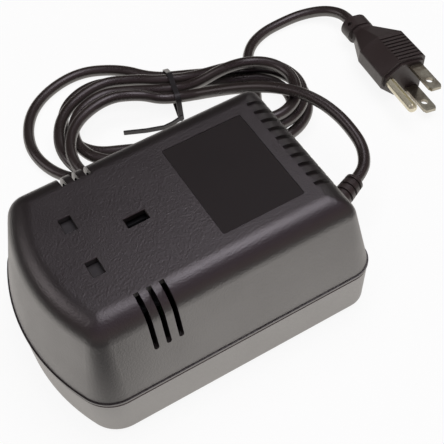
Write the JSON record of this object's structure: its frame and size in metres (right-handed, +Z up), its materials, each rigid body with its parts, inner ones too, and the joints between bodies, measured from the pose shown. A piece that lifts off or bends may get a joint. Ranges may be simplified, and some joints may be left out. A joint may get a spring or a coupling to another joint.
{
  "type": "mains voltage converter with a british socket",
  "caption": "Black mains voltage converter with a shuttered British three-pin socket, tied lead and American three-pin plug.",
  "frame": {"origin": "centre of the case on the table it stands on", "axes": "X along the case from the socket end to the lead end, Y across the case towards the side where the hank lies, Z up"},
  "size_m": [0.2199, 0.1812, 0.062],
  "materials": {
    "case_plastic": "fine moulded grain, satin black",
    "label_film": "matt printed film",
    "foot_rubber": "matt rubber",
    "cord_rubber": "satin black sheath",
    "moulded_pvc": "satin moulded",
    "screw_steel": "zinc plated",
    "core_steel": "stacked sheet edges",
    "frame_steel": "plain sheet",
    "bobbin_nylon": "natural nylon",
    "magnet_wire": "enamelled copper winding",
    "yellow_tape": "thin tape",
    "fuse_body": "light enamel",
    "tinned_brass": "tinned",
    "contact_brass": "plain brass",
    "carrier_plastic": "moulded heat resistant plastic",
    "shutter_plastic": "moulded",
    "spring_steel": "bright wire",
    "tie_pvc": "satin",
    "nickel": "nickel plate",
    "pin_brass": "bright, light brass",
    "wire_brown": "brown insulation",
    "wire_blue": "blue insulation",
    "wire_green": "green insulation"
  },
  "bodies": {
    "case": {"upper_case": "case_plastic", "lower_case": "case_plastic", "rating_label": "label_film", "rubber_feet": "foot_rubber", "case_screws": "screw_steel", "core_e_laminations": "core_steel", "core_i_laminations": "core_steel", "coil_bobbin": "bobbin_nylon", "primary_winding": "magnet_wire", "secondary_winding": "magnet_wire", "winding_tape": "yellow_tape", "transformer_frame": "frame_steel", "frame_screws": "screw_steel", "thermal_fuse": "fuse_body", "solder_tags": "tinned_brass", "socket_carrier": "carrier_plastic", "live_contact": "contact_brass", "neutral_contact": "contact_brass", "earth_contact": "contact_brass", "carrier_screws": "screw_steel", "shutter_spring": "spring_steel", "strain_relief": "moulded_pvc", "mains_lead": "cord_rubber", "lead_hank": "cord_rubber", "lead_tail": "cord_rubber", "hank_tie": "tie_pvc", "plug_body": "moulded_pvc", "line_blade": "nickel", "neutral_blade": "nickel", "ground_pin": "pin_brass", "input_line_wire": "wire_brown", "input_neutral_wire": "wire_blue", "output_live_wire": "wire_brown", "output_neutral_wire": "wire_blue", "earth_wire": "wire_green"},
    "shutter_body": {"shutter": "shutter_plastic"}
  },
  "joints": [
    {"name": "shutter_slide", "type": "slide", "parent": "case", "child": "shutter_body", "axis": [-1, 0, 0], "range_m": [0, 0.0056], "stiffness_N_per_m": 150, "deforming": ["shutter_spring"]}
  ]
}
